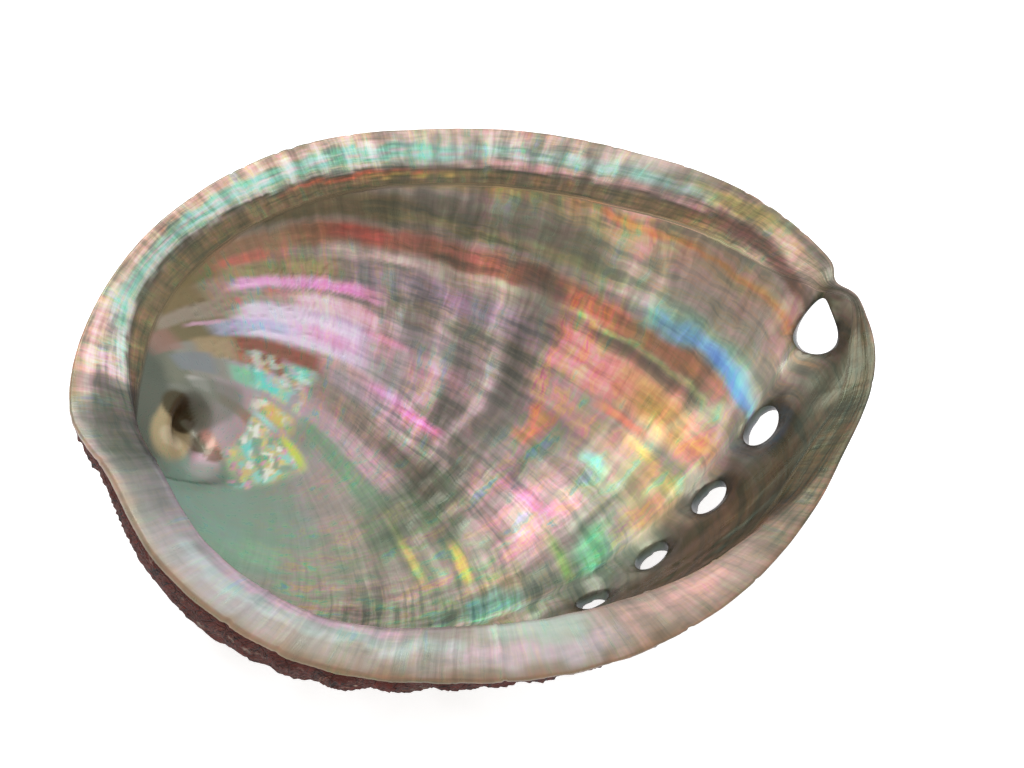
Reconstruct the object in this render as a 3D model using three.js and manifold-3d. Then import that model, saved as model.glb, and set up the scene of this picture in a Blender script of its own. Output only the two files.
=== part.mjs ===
// Abalone shell, lying on its back with the pearly side up.
// Millimetres and degrees. In the shell's own frame +X points to its front end, +Z out of the mouth,
// and the origin is over the deepest part of the bowl, level with the rim.
import * as THREE from "three";
import { mergeVertices } from "three/addons/utils/BufferGeometryUtils.js";
import Module from "manifold-3d";

const wasm = await Module();
wasm.setup();
const { Vector2, Vector3, MathUtils } = THREE;

// Driving dimensions
const BOWL_DEPTH = 42; // from the rim down to the back of the shell
const WALL = 3.2; // shell thickness over most of the bowl
const SPIRE_WALL = 5; // extra thickness at the spire
const SPIRE_REACH = 20; // how far round the spire that thickness spreads
const APEX = new Vector2(-58, 4); // the spire, from which everything grows
const GROWTH_RATE = 0.71; // log spiral: growth in size per radian of turn
const RIM_ROUND = 1.1; // the rim's edge is rounded over this distance
const NOSE = 1.6; // half height of the lip's inner edge
const WORN_FLAT = 0.6; // how deep the back is worn flat where the shell rests
const REST_TILT = -3.4; // about +Y: the spire's end hangs lower when the shell lies still

// The rim, counter-clockwise from the front end as seen looking into the shell: reach from the origin,
// height, width and fall of the flat lip inside the edge, the share of the profile that the lip covers,
// slope of the outer wall under the edge (over 90 it bulges out), and how far the flat of the back reaches
// out towards the rim.
const RIM = [
  { at: 12, reach: 91.5, height: -4, lip: 3, fall: 1, root: 0.06, slope: 44, flat: 0.55 },
  { at: 32, reach: 87, height: -2.5, lip: 7, fall: 2.2, root: 0.1, slope: 42, flat: 0.5 },
  { at: 60, reach: 72, height: -0.5, lip: 8, fall: 2.5, root: 0.12, slope: 46, flat: 0.5 },
  { at: 92, reach: 65.5, height: 0.5, lip: 7.5, fall: 2.5, root: 0.12, slope: 50, flat: 0.52 },
  { at: 125, reach: 70.4, height: 0, lip: 7, fall: 2.2, root: 0.12, slope: 52, flat: 0.48 },
  { at: 158, reach: 77.6, height: -1.5, lip: 6.5, fall: 2, root: 0.12, slope: 55, flat: 0.42 },
  { at: 179, reach: 79, height: -3, lip: 13, fall: 2.5, root: 0.15, slope: 62, flat: 0.38 },
  { at: 190, reach: 72, height: -3, lip: 10.5, fall: 2, root: 0.14, slope: 100, flat: 0.42 },
  { at: 205, reach: 68.8, height: -2, lip: 10.5, fall: 1.8, root: 0.12, slope: 108, flat: 0.52 },
  { at: 232, reach: 62.4, height: 0, lip: 10.8, fall: 1.8, root: 0.12, slope: 102, flat: 0.6 },
  { at: 265, reach: 56, height: 1, lip: 12, fall: 2, root: 0.12, slope: 84, flat: 0.66 },
  { at: 300, reach: 59, height: 0.5, lip: 12.5, fall: 2, root: 0.12, slope: 62, flat: 0.64 },
  { at: 330, reach: 67.5, height: -1, lip: 9, fall: 2, root: 0.12, slope: 54, flat: 0.6 },
  { at: 352, reach: 78, height: -3, lip: 4, fall: 1.5, root: 0.09, slope: 48, flat: 0.57 },
];
const WALL_HANDLE = 0.42; // length of the outer wall's first curve handle, as a share of the reach
const RIM_FADE = 0.05; // the relief of the back dies out over this share of the profile towards the rim
// Curve handles of the lip, as shares of its width, its fall, its nose and the reach of its underside
const LIP_CURVE = { out: 0.5, drop: 0.3, nose: 1.6, under: 0.4, wall: 0.35 };
const NOTCH = { at: 21, half: 1.8, depth: 2.4 }; // in the rim, where the next breathing hole is opening

// Breathing holes: a row on one growth spiral, each a fixed turn behind the next, then the ones healed over.
// Half sizes are shares of the distance from the apex.
const HOLES = { open: 5, healed: 8, radius: 139, angle: 8.3, turn: 7.95, long: 0.04, wide: 0.028 };
// Collar round each hole: its rise on the back, the share of it that dips inside, where its slope starts,
// in hole sizes, and how steep that is
const COLLAR = { rise: 2, dip: 0.7, start: 0.8, steep: 1.6 };
// Spire: a low dome outside with the seam of its whorls coiling into the apex, and the pit inside where
// they open
const SPIRE = { rise: 4, reach: 15, seam: 2, seamWidth: 3, radius: 21, angle: 211, rate: 0.35 };
const PIT = { x: -58.5, y: 4, long: 6.5, wide: 4.2, tilt: 75, depth: 5.5 };
const GROUND = { side: 400, thick: 10 }; // the block that wears the back flat
// Growth swells on the back, and the growth stages between which they come up
const SWELLS = { count: 9, height: 0.9, from: 0.25, to: 0.45 };

// Facets
const RINGS = 18;
const LIP_ROWS = 6;
const WALL_ROWS = 2;
const HOLE_SIDES = 18;
const HALVINGS = 30; // steps of each search for a place by halving

const rad = MathUtils.degToRad;

// Smooth value round the closed rim at an angle in degrees
function rimValue(key, degrees) {
  const n = RIM.length;
  const angle = MathUtils.euclideanModulo(degrees - RIM[0].at, 360) + RIM[0].at;
  const i = RIM.findLastIndex((s) => s.at <= angle);
  const station = (k) => {
    const s = RIM[MathUtils.euclideanModulo(k, n)];
    return { at: s.at + 360 * Math.floor(k / n), value: s[key] };
  };
  const [a, b, c, d] = [station(i - 1), station(i), station(i + 1), station(i + 2)];
  const span = c.at - b.at;
  const t = (angle - b.at) / span;
  const startSlope = ((c.value - a.value) / (c.at - a.at)) * span;
  const endSlope = ((d.value - b.value) / (d.at - b.at)) * span;
  const [t2, t3] = [t * t, t * t * t];
  return (2 * t3 - 3 * t2 + 1) * b.value + (t3 - 2 * t2 + t) * startSlope
    + (3 * t2 - 2 * t3) * c.value + (t3 - t2) * endSlope;
}

// A point in the upright plane at an angle: distance out from the origin, and height
function upright(degrees, out, height) {
  return new Vector3(out * Math.cos(rad(degrees)), out * Math.sin(rad(degrees)), height);
}

// Smooth outer form: along 0 at the rim, 1 at the middle of the back
function back(degrees, along) {
  const reach = rimValue("reach", degrees);
  const height = rimValue("height", degrees);
  const slope = rad(rimValue("slope", degrees));
  const handle = WALL_HANDLE * reach;
  const fromNotch = (MathUtils.euclideanModulo(degrees - NOTCH.at + 180, 360) - 180) / NOTCH.half;
  const profile = new THREE.CubicBezierCurve(
    new Vector2(reach - NOTCH.depth * Math.exp(-fromNotch * fromNotch), height),
    new Vector2(reach - handle * Math.cos(slope), height - handle * Math.sin(slope)),
    new Vector2(reach * rimValue("flat", degrees), -BOWL_DEPTH),
    new Vector2(0, -BOWL_DEPTH),
  );
  const p = profile.getPoint(along);
  return upright(degrees, p.x, p.y);
}

// Unit normal of the outer form, pointing into the bowl
function inward(degrees, along) {
  if (along > 0.999) return new Vector3(0, 0, 1);
  const step = 0.004;
  const round = back(degrees + 1, along).sub(back(degrees - 1, along));
  const down = back(degrees, Math.min(1, along + step)).sub(back(degrees, Math.max(0, along - step)));
  return round.cross(down).normalize();
}

// Polar place about the apex
function aboutApex(x, y) {
  return { radius: Math.hypot(x - APEX.x, y - APEX.y), angle: Math.atan2(y - APEX.y, x - APEX.x) };
}

// Distance from the apex to the rim, by angle about the apex
const rimAboutApex = Array.from({ length: 360 }, (_, i) => {
  const p = back(i, 0);
  return aboutApex(p.x, p.y);
}).sort((a, b) => a.angle - b.angle);
function rimRadius(angle) {
  const turned = MathUtils.euclideanModulo(angle + Math.PI, 2 * Math.PI) - Math.PI;
  const next = rimAboutApex.findIndex((s) => s.angle >= turned);
  const b = rimAboutApex[Math.max(next, 0)];
  const a = rimAboutApex.at(next - 1);
  const gap = MathUtils.euclideanModulo(b.angle - a.angle, 2 * Math.PI);
  const t = MathUtils.euclideanModulo(turned - a.angle, 2 * Math.PI) / gap;
  return MathUtils.lerp(a.radius, b.radius, t);
}

// Growth stage of a place on the shell: 1 at the rim, less on the older shell towards the apex.
// Each older rim is the rim of today, shrunk about the apex and turned clockwise.
function growthStage(x, y) {
  const { radius, angle } = aboutApex(x, y);
  let [low, high] = [0.01, 1.2];
  for (let i = 0; i < HALVINGS; i++) {
    const stage = (low + high) / 2;
    if (stage * rimRadius(angle - Math.log(stage) / GROWTH_RATE) < radius) low = stage;
    else high = stage;
  }
  return low;
}

// Place on the outer form under a point of the plan
function placeUnder(x, y) {
  const degrees = MathUtils.radToDeg(Math.atan2(y, x));
  let [low, high] = [0, 1];
  for (let i = 0; i < HALVINGS; i++) {
    const along = (low + high) / 2;
    const p = back(degrees, along);
    if (Math.hypot(p.x, p.y) > Math.hypot(x, y)) low = along;
    else high = along;
  }
  return { degrees, along: low };
}

// One breathing hole of the row, open or healed over: its middle, its axes and its half sizes
function breathingHole(i) {
  const turned = rad(HOLES.angle - i * HOLES.turn);
  const radius = HOLES.radius * Math.exp(-GROWTH_RATE * rad(i * HOLES.turn));
  const place = placeUnder(APEX.x + radius * Math.cos(turned), APEX.y + radius * Math.sin(turned));
  const middle = back(place.degrees, place.along);
  const through = inward(place.degrees, place.along);
  const row = new Vector3(
    GROWTH_RATE * Math.cos(turned) - Math.sin(turned),
    GROWTH_RATE * Math.sin(turned) + Math.cos(turned),
    0,
  );
  row.addScaledVector(through, -row.dot(through)).normalize();
  const across = new Vector3().crossVectors(through, row);
  return { middle, through, row, across, long: HOLES.long * radius, wide: HOLES.wide * radius };
}
const holes = Array.from({ length: HOLES.open + HOLES.healed }, (_, i) => breathingHole(i));

// Distance from a hole's middle, 1 at its edge
function fromHole(hole, point) {
  const d = point.clone().sub(hole.middle);
  const { row, across, through, long, wide } = hole;
  return Math.hypot(d.dot(row) / long, d.dot(across) / wide, d.dot(through) / long);
}

// Height of the collar round the holes: it stands out on the back, and the pearl dips into it inside
function collar(point) {
  let height = 0;
  for (const hole of holes) {
    const beyond = Math.max(0, fromHole(hole, point) - COLLAR.start);
    const size = hole.long / holes[0].long;
    height = Math.max(height, COLLAR.rise * size * Math.exp(-beyond * beyond * COLLAR.steep));
  }
  return height;
}

// The spire's dome on the back, with the seam of its whorls pressed in
function spireCoil(x, y) {
  const { radius, angle } = aboutApex(x, y);
  const dome = SPIRE.rise * Math.exp(-((radius / SPIRE.reach) ** 2));
  if (radius < 1 || radius > SPIRE.radius) return dome;
  const turns = (angle - rad(SPIRE.angle) - Math.log(radius / SPIRE.radius) / SPIRE.rate) / (2 * Math.PI);
  const fromSeam = radius * SPIRE.rate * 2 * Math.PI * (turns - Math.round(turns));
  const start = MathUtils.smoothstep(radius, 1, 4);
  const end = 1 - MathUtils.smoothstep(radius, SPIRE.reach, SPIRE.radius);
  return dome - SPIRE.seam * Math.exp(-((fromSeam / SPIRE.seamWidth) ** 2)) * start * end;
}

// Broad swells of the yearly growth on the back
function growthSwell(x, y) {
  const stage = growthStage(x, y);
  const beat = SWELLS.count * Math.log(1 / stage);
  const fade = MathUtils.smoothstep(stage, SWELLS.from, SWELLS.to);
  return SWELLS.height * (0.5 - 0.5 * Math.cos(2 * Math.PI * beat)) * fade;
}

// The pit inside, where the spire's whorls open into the bowl
function spirePit(x, y) {
  const d = new Vector2(x - PIT.x, y - PIT.y).rotateAround(new Vector2(), -rad(PIT.tilt));
  return PIT.depth * Math.exp(-((d.x / PIT.long) ** 4) - (d.y / PIT.wide) ** 4);
}

// Outer and inner surfaces of the shell at a place
function outside(degrees, along) {
  const p = back(degrees, along);
  const out = collar(p) + spireCoil(p.x, p.y) + growthSwell(p.x, p.y);
  const fade = MathUtils.smoothstep(along, 0, RIM_FADE);
  return p.clone().addScaledVector(inward(degrees, along), -out * fade);
}
function inside(degrees, along) {
  const p = back(degrees, along);
  const nearSpire = Math.hypot(p.x - APEX.x, p.y - APEX.y) / SPIRE_REACH;
  const thick = WALL + SPIRE_WALL * Math.exp(-nearSpire * nearSpire);
  const dip = COLLAR.dip * collar(p) + spirePit(p.x, p.y);
  return p.clone().addScaledVector(inward(degrees, along), thick - dip);
}

// The margin in one upright plane, from the outer wall over the rim's edge and the lip to the inner wall
function margin(degrees) {
  const edge = back(degrees, 0);
  const toMiddle = upright(degrees, -1, 0);
  const lip = rimValue("lip", degrees);
  const fall = rimValue("fall", degrees);
  const nose = edge.clone().addScaledVector(toMiddle, lip).add(new Vector3(0, 0, -fall - NOSE));
  const share = rimValue("root", degrees);
  const root = inside(degrees, share);
  const wallStep = 0.02;
  const wallRun = inside(degrees, share + wallStep).sub(root).normalize();
  const flat = new THREE.CubicBezierCurve3(
    edge,
    edge.clone().addScaledVector(toMiddle, LIP_CURVE.out * lip).setZ(edge.z - LIP_CURVE.drop * fall),
    nose.clone().add(new Vector3(0, 0, LIP_CURVE.nose * NOSE)),
    nose,
  );
  const reach = nose.distanceTo(root);
  const under = new THREE.CubicBezierCurve3(
    nose,
    nose.clone().add(new Vector3(0, 0, -LIP_CURVE.under * reach)),
    root.clone().addScaledVector(wallRun, -LIP_CURVE.wall * reach),
    root,
  );
  const roundEnd = RIM_ROUND / (3 * LIP_CURVE.out * lip);
  const round = new THREE.QuadraticBezierCurve3(outside(degrees, wallStep), edge, flat.getPoint(roundEnd));
  const rows = [];
  for (let i = 1; i < WALL_ROWS; i++) {
    rows.push(outside(degrees, MathUtils.lerp(share, wallStep, i / WALL_ROWS)));
  }
  for (const t of [0, 0.5, 1]) rows.push(round.getPoint(t));
  for (let i = 1; i <= LIP_ROWS; i++) rows.push(flat.getPoint(MathUtils.lerp(roundEnd, 1, i / LIP_ROWS)));
  for (const t of [1 / 3, 2 / 3]) rows.push(under.getPoint(t));
  return rows;
}

// Closed mesh: two round sheets on a square grid of rings, joined by the margin's rows
function shellGeometry() {
  const side = 2 * RINGS + 1;
  const vertices = [];
  const triangles = [];
  const id = (sheet, i, j) => sheet * side * side + (i + RINGS) * side + j + RINGS;
  const polar = (i, j) => {
    const wide = Math.abs(i) > Math.abs(j);
    const ring = wide ? i : j;
    if (ring === 0) return { degrees: 0, ring: 0 };
    const turn = wide ? 45 * (j / i) : 90 - 45 * (i / j);
    return { degrees: turn + (ring < 0 ? 180 : 0), ring: Math.abs(ring) / RINGS };
  };
  for (const surface of [outside, inside])
    for (let i = -RINGS; i <= RINGS; i++)
      for (let j = -RINGS; j <= RINGS; j++) {
        const { degrees, ring } = polar(i, j);
        vertices.push(surface(degrees, 1 - ring * (1 - rimValue("root", degrees))));
      }
  const quad = (a, b, c, d) => triangles.push(a, b, c, a, c, d);
  for (let i = -RINGS; i < RINGS; i++)
    for (let j = -RINGS; j < RINGS; j++) {
      const corners = [[i, j], [i + 1, j], [i + 1, j + 1], [i, j + 1]];
      if ((i + 0.5) * (j + 0.5) < 0) corners.push(corners.shift());
      quad(...corners.map(([a, b]) => id(1, a, b)));
      quad(...corners.map(([a, b]) => id(0, a, b)).reverse());
    }
  const ringCells = [];
  for (let k = -RINGS; k < RINGS; k++) ringCells.push([RINGS, k]);
  for (let k = RINGS; k > -RINGS; k--) ringCells.push([k, RINGS]);
  for (let k = RINGS; k > -RINGS; k--) ringCells.push([-RINGS, k]);
  for (let k = -RINGS; k < RINGS; k++) ringCells.push([k, -RINGS]);
  const rows = ringCells.map(([i, j]) => {
    const strip = margin(polar(i, j).degrees).map((p) => vertices.push(p) - 1);
    return [id(0, i, j), ...strip, id(1, i, j)];
  });
  rows.forEach((row, k) => {
    const next = rows[(k + 1) % rows.length];
    for (let i = 0; i + 1 < row.length; i++) quad(row[i], next[i], next[i + 1], row[i + 1]);
  });
  const geometry = new THREE.BufferGeometry().setFromPoints(vertices);
  return geometry.setIndex(triangles);
}

function toSolid(geometry) {
  const bare = geometry.clone();
  for (const name of ["normal", "uv"]) bare.deleteAttribute(name);
  const merged = mergeVertices(bare, 1e-4);
  const mesh = new wasm.Mesh({
    numProp: 3,
    vertProperties: merged.attributes.position.array,
    triVerts: new Uint32Array(merged.index.array),
  });
  return new wasm.Manifold(mesh);
}

function toGeometry(solid) {
  const mesh = solid.getMesh();
  const geometry = new THREE.BufferGeometry();
  geometry.setAttribute("position", new THREE.BufferAttribute(mesh.vertProperties, 3));
  geometry.setIndex(new THREE.BufferAttribute(mesh.triVerts, 1));
  geometry.computeVertexNormals();
  return geometry;
}

// An oval plug that opens one breathing hole through the wall
function holePlug(hole) {
  const length = 4 * WALL;
  const plug = new THREE.CylinderGeometry(1, 1, length, HOLE_SIDES);
  const placed = new THREE.Matrix4().makeBasis(
    hole.row.clone().multiplyScalar(hole.long),
    hole.through,
    hole.across.clone().multiplyScalar(-hole.wide),
  );
  return plug.applyMatrix4(placed.setPosition(hole.middle));
}

// The whole shell, turned as it lies and worn flat where it touches down
function restingShell() {
  let solid = toSolid(shellGeometry());
  for (const hole of holes.slice(0, HOLES.open)) solid = solid.subtract(toSolid(holePlug(hole)));
  const turned = toGeometry(solid).rotateY(rad(REST_TILT));
  turned.computeBoundingBox();
  const ground = new THREE.BoxGeometry(GROUND.side, GROUND.side, GROUND.thick);
  ground.translate(0, 0, turned.boundingBox.min.z + WORN_FLAT - GROUND.thick / 2);
  return toGeometry(toSolid(turned).subtract(toSolid(ground)));
}

const geometry = restingShell();
geometry.computeBoundingBox();
const box = geometry.boundingBox;
const shell = new THREE.Mesh(
  geometry,
  new THREE.MeshStandardMaterial({ color: 0xb9aea4, roughness: 0.3, metalness: 0.1 }),
);
shell.name = "shell";
shell.position.set(-(box.min.x + box.max.x) / 2, -(box.min.y + box.max.y) / 2, -box.min.z);

const abalone = new THREE.Group();
abalone.add(shell);
export default abalone;
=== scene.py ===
import math

import bpy
import bmesh
import numpy as np
from mathutils import Matrix, Vector


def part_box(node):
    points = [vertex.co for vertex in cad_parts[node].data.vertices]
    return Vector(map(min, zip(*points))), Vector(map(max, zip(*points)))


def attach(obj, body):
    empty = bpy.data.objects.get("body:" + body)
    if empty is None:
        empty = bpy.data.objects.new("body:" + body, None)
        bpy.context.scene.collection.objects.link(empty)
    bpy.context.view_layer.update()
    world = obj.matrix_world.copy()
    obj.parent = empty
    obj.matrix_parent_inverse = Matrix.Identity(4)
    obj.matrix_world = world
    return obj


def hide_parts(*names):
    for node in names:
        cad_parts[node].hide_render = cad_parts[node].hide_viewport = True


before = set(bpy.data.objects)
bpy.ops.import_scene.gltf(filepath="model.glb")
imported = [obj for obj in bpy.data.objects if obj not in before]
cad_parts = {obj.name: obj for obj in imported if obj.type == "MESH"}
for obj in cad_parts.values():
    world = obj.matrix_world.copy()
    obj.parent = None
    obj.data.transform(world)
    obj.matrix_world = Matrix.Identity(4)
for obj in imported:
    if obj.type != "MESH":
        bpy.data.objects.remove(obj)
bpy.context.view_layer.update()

MM = 0.001

# Form of the shell, as in the part
BOWL_DEPTH = 42
WALL = 3.2
EDGE_WALL = 0.4
SPIRE_WALL, SPIRE_REACH = 5, 20
APEX = np.array([-58.0, 4.0])
ROW_RATE = 0.71
RIM_ROUND = 1.1
NOSE = 1.6
REST_TILT = math.radians(-3.4)
RIM_KEYS = ("at", "reach", "height", "lip", "fall", "root", "slope", "flat")
RIM = np.array([
    (12, 91.5, -4, 3, 1, 0.06, 44, 0.55),
    (32, 87, -2.5, 7, 2.2, 0.12, 42, 0.5),
    (60, 72, -0.5, 8, 2.5, 0.15, 46, 0.5),
    (92, 65.5, 0.5, 7.5, 2.5, 0.155, 50, 0.52),
    (125, 70.4, 0, 7, 2.2, 0.15, 52, 0.48),
    (158, 77.6, -1.5, 6.5, 2, 0.145, 55, 0.42),
    (179, 79, -3, 13, 2.5, 0.15, 62, 0.38),
    (190, 72, -3, 10.5, 2, 0.14, 100, 0.42),
    (205, 68.8, -2, 10.5, 1.8, 0.12, 108, 0.52),
    (232, 62.4, 0, 10.8, 1.8, 0.12, 102, 0.6),
    (265, 56, 1, 12, 2, 0.12, 84, 0.66),
    (300, 59, 0.5, 12.5, 2, 0.12, 62, 0.64),
    (330, 67.5, -1, 9, 2, 0.12, 54, 0.6),
    (352, 78, -3, 4, 1.5, 0.1, 48, 0.57),
])
WALL_HANDLE = 0.42
NOTCH = {"at": 21, "half": 1.8, "depth": 2.4, "lip_at": 18, "lip_half": 4.5, "thin": 0.72}
LIP_CURVE = {"out": 0.5, "drop": 0.3, "nose": 1.6, "under": 0.3, "wall": 0.4}
SHELF = {"from": 183, "to": 328, "edge": 12}
HOLES = {"open": 5, "healed": 8, "radius": 139, "angle": 8.3, "turn": 7.95, "long": 0.0425, "wide": 0.0325,
         "taper": 0.06, "newest_taper": 0.42}
COLLAR = {"rise": 2, "dip": 1.25, "start": 0.8, "steep": 1.6}
SPIRE = {"rise": 4, "reach": 15, "seam": 2, "seam_width": 3, "radius": 21, "angle": 211, "rate": 0.35}
PIT = {"x": -58.5, "y": 4, "long": 6.4, "wide": 4.3, "tilt": 75, "depth": 5.5, "lean": 0.75,
       "whorl_at": -2.6, "whorl_size": 2.3, "whorl_rise": 1.6}
FOLD = {"from": -46, "to": -14, "low": -16, "high": 4, "rounds": 120}
SWELLS = {"count": 9, "height": 0.9, "from": 0.25, "to": 0.45}
# Wear of the rim's edge: depths of its broad waves, fine waves and chips, and their sizes in radians
WEAR = {"broad": 0.12, "broad_step": 0.09, "fine": 0.04, "fine_step": 0.022, "chip": 0.25, "chip_step": 0.03}
# Heights of the crust's relief, its rib wave in radians for a degree of rim, and its ridges for a step of e
CRUST_RELIEF = {"ribs": 0.16, "ridges": 0.45, "lumps": 0.16, "grit": 0.08, "growths": 0.6, "sink": 0.15}
CRUST_RIBS, CRUST_RIDGES = 0.85, 42
# Heights of the pearl's relief, the distances from the apex over which it comes in, and its waves likewise
PEARL_RELIEF = {"ribs": 0.07, "waves": 0.16, "terraces": 0.3, "blister": 0.5, "lumps": 0.1,
                "from": 24, "to": 60}
PEARL_WAVES, TERRACES = 62, 26
# The stretch of rim beside the breathing holes, counted from a quarter turn back, where the nose is small
BY_HOLES = {"from": 60, "to": 112, "edge": 8, "smaller": 0.7}
HOLE_BELLY = 0.25

# Mesh density: rings of the pearly sheet (the crust has half as many) and rows across the margin
RINGS = 112
WALL_ROWS, ROUND_ROWS, LIP_ROWS, UNDER_ROWS = 6, 4, 11, 5
HOLE_ROWS = (0.1, 0.28, 0.5, 0.72, 0.9)
ON_SHEET = 3.0

# The bands of the pearl follow old rims, and its streaks the ribs that cross them, on this log spiral
RIB_RATE = 0.85
# Growth space counts in lengths of this many millimetres, about the way from the spire to the rim
REACH = 120


def smoothstep(value, low, high):
    t = np.clip((value - low) / (high - low), 0, 1)
    return t * t * (3 - 2 * t)


def window(value, low, high, edge):
    """1 between low and high, falling softly to 0 over the edge on either side."""
    return smoothstep(value, low - edge, low + edge) * (1 - smoothstep(value, high - edge, high + edge))


LATTICE = np.random.default_rng(11).random((32, 32, 32))


def lumps(points, size):
    """Smooth noise from -1 to 1 with lumps about that size."""
    places = np.asarray(points) / size
    cells = np.floor(places).astype(int)
    t = places - cells
    t = t * t * (3 - 2 * t)
    total = 0
    for corner in np.ndindex(2, 2, 2):
        weight = np.prod(np.where(corner, t, 1 - t), axis=-1)
        total = total + weight * LATTICE[tuple(np.moveaxis((cells + corner) % 32, -1, 0))]
    return 2 * total - 1


# Base form

def rim_value(key, degrees):
    """Smooth value round the closed rim."""
    at = RIM[:, 0]
    knots = np.concatenate([at - 360, at, at + 360])
    values = np.tile(RIM[:, RIM_KEYS.index(key)], 3)
    x = (np.asarray(degrees, float) - at[0]) % 360 + at[0]
    i = np.searchsorted(knots, x, side="right") - 1
    span = knots[i + 1] - knots[i]
    t = (x - knots[i]) / span
    start = (values[i + 1] - values[i - 1]) / (knots[i + 1] - knots[i - 1]) * span
    end = (values[i + 2] - values[i]) / (knots[i + 2] - knots[i]) * span
    return ((2 * t**3 - 3 * t**2 + 1) * values[i] + (t**3 - 2 * t**2 + t) * start
            + (3 * t**2 - 2 * t**3) * values[i + 1] + (t**3 - t**2) * end)


def upright(degrees, out, height):
    turned = np.radians(degrees)
    return np.stack(np.broadcast_arrays(out * np.cos(turned), out * np.sin(turned), height), -1)


def chips(degrees):
    """How far the rim's thin edge is worn and chipped back, in millimetres."""
    place = upright(degrees, 1, 0)
    worn = WEAR["broad"] * lumps(place + 7, WEAR["broad_step"])
    worn = worn + WEAR["fine"] * lumps(place + 3, WEAR["fine_step"])
    return worn + WEAR["chip"] * smoothstep(lumps(place, WEAR["chip_step"]), 0.65, 0.9)


def back(degrees, along):
    """Smooth outer form: along 0 at the rim, 1 at the middle of the back."""
    reach = rim_value("reach", degrees)
    height = rim_value("height", degrees)
    slope = np.radians(rim_value("slope", degrees))
    handle = WALL_HANDLE * reach
    from_notch = ((degrees - NOTCH["at"] + 180) % 360 - 180) / NOTCH["half"]
    edge = reach - NOTCH["depth"] * np.exp(-from_notch**2) - chips(degrees)
    a, b, c, d = (1 - along)**3, 3 * (1 - along)**2 * along, 3 * (1 - along) * along**2, along**3
    out = a * edge + b * (reach - handle * np.cos(slope)) + c * reach * rim_value("flat", degrees)
    return upright(degrees, out, a * height + b * (height - handle * np.sin(slope)) - (c + d) * BOWL_DEPTH)


def near_notch(degrees):
    """1 where the newest hole reaches up to the rim and thins the lip."""
    return np.exp(-(((degrees - NOTCH["lip_at"] + 180) % 360 - 180) / NOTCH["lip_half"])**2)


def lip_value(key, degrees):
    return rim_value(key, degrees) * (1 - NOTCH["thin"] * near_notch(degrees))


def unit(vectors):
    return vectors / np.maximum(np.linalg.norm(vectors, axis=-1, keepdims=True), 1e-9)


def inward(degrees, along):
    """Unit normal of the outer form, pointing into the bowl."""
    step = 0.004
    across = back(degrees + 1, along) - back(degrees - 1, along)
    down = back(degrees, np.minimum(1, along + step)) - back(degrees, np.maximum(0, along - step))
    return np.where((along > 0.999)[..., None], [0, 0, 1], unit(np.cross(across, down)))


def about_apex(x, y):
    return np.hypot(x - APEX[0], y - APEX[1]), np.arctan2(y - APEX[1], x - APEX[0])


rim_turn = np.arange(0, 360, 0.25)
rim_points = back(rim_turn, np.zeros_like(rim_turn))
rim_radii, rim_angles = about_apex(rim_points[:, 0], rim_points[:, 1])


def growth(x, y, rate):
    """Growth stage, 1 at the rim and less on older shell, and the rim angle of the rib through each place.

    Each older rim is the rim of today, shrunk about the apex and turned clockwise.
    """
    radius, angle = about_apex(x, y)
    low, high = np.full_like(radius, 0.01), np.full_like(radius, 1.2)
    for _ in range(34):
        stage = (low + high) / 2
        rim = np.interp(angle - np.log(stage) / rate, rim_angles, rim_radii, period=2 * np.pi)
        inside_rim = stage * rim < radius
        low, high = np.where(inside_rim, stage, low), np.where(inside_rim, high, stage)
    return low, angle - np.log(low) / rate


def place_under(x, y):
    """Rim angle and along of the outer form under points of the plan."""
    degrees = np.degrees(np.arctan2(y, x))
    low, high = np.zeros_like(degrees), np.ones_like(degrees)
    for _ in range(34):
        along = (low + high) / 2
        beyond = np.hypot(*np.moveaxis(back(degrees, along)[..., :2], -1, 0)) > np.hypot(x, y)
        low, high = np.where(beyond, along, low), np.where(beyond, high, along)
    return degrees, low


def breathing_hole(i):
    """One hole of the row, open or healed over."""
    turned = np.radians(HOLES["angle"] - i * HOLES["turn"])
    radius = HOLES["radius"] * np.exp(-ROW_RATE * np.radians(i * HOLES["turn"]))
    plan = APEX + radius * np.array([np.cos(turned), np.sin(turned)])
    degrees, along = place_under(plan[0], plan[1])
    through = inward(degrees, along)
    cos, sin = np.cos(turned), np.sin(turned)
    row = np.array([ROW_RATE * cos - sin, ROW_RATE * sin + cos, 0])
    row = unit(row - through * (row @ through))
    return {"middle": back(degrees, along), "through": through, "row": row, "across": np.cross(through, row),
            "long": HOLES["long"] * radius, "wide": HOLES["wide"] * radius,
            "taper": HOLES["newest_taper"] if i == 0 else HOLES["taper"]}


holes = [breathing_hole(i) for i in range(HOLES["open"] + HOLES["healed"])]


def collar(points):
    """Height of the collar round the holes: it stands out on the back, and the pearl dips into it inside."""
    height = np.zeros(points.shape[:-1])
    for hole in holes:
        d = points - hole["middle"]
        away = np.sqrt((d @ hole["row"] / hole["long"])**2 + (d @ hole["across"] / hole["wide"])**2
                       + (d @ hole["through"] / hole["long"])**2)
        beyond = np.maximum(0, away - COLLAR["start"])
        size = hole["long"] / holes[0]["long"]
        height = np.maximum(height, COLLAR["rise"] * size * np.exp(-beyond**2 * COLLAR["steep"]))
    return height


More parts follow.
